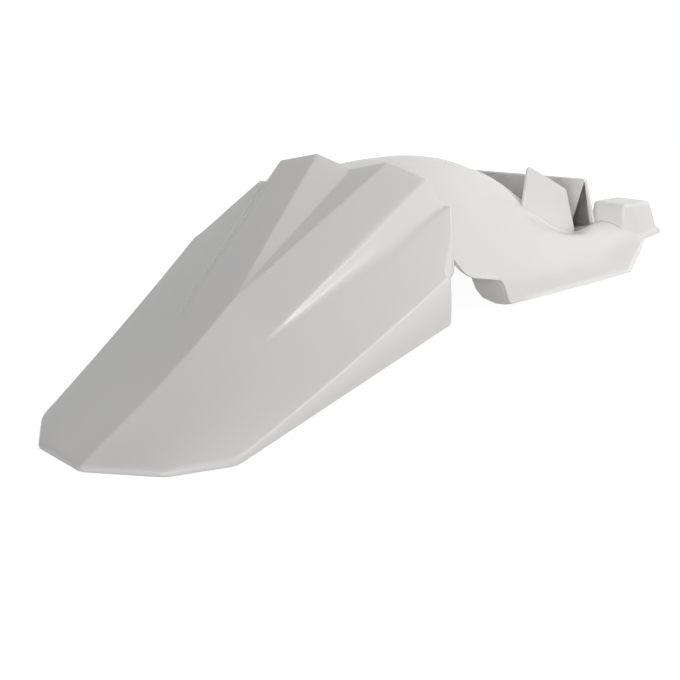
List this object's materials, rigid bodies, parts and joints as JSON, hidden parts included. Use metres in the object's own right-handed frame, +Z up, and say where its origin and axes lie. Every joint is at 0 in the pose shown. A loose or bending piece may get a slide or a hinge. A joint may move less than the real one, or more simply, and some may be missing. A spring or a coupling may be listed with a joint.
{
  "type": "motorcycle rear fender",
  "caption": "Moulded motocross rear fender: a creased tail blade, a hollow wheel arch with side skirts, and a bolted deck with a splash plate, an upright fin and hollow corner boxes.",
  "frame": {"origin": "bottom centre of the box around the fender, on the surface that its tail rim and side skirts rest on", "axes": "+X towards the front of the motorcycle, +Y to its left, +Z up"},
  "size_m": [0.722, 0.2548, 0.1605],
  "materials": {
    "white_plastic": "satin moulded polypropylene, white right through"
  },
  "bodies": {
    "root": {"rear_fender": "white_plastic"}
  },
  "joints": []
}
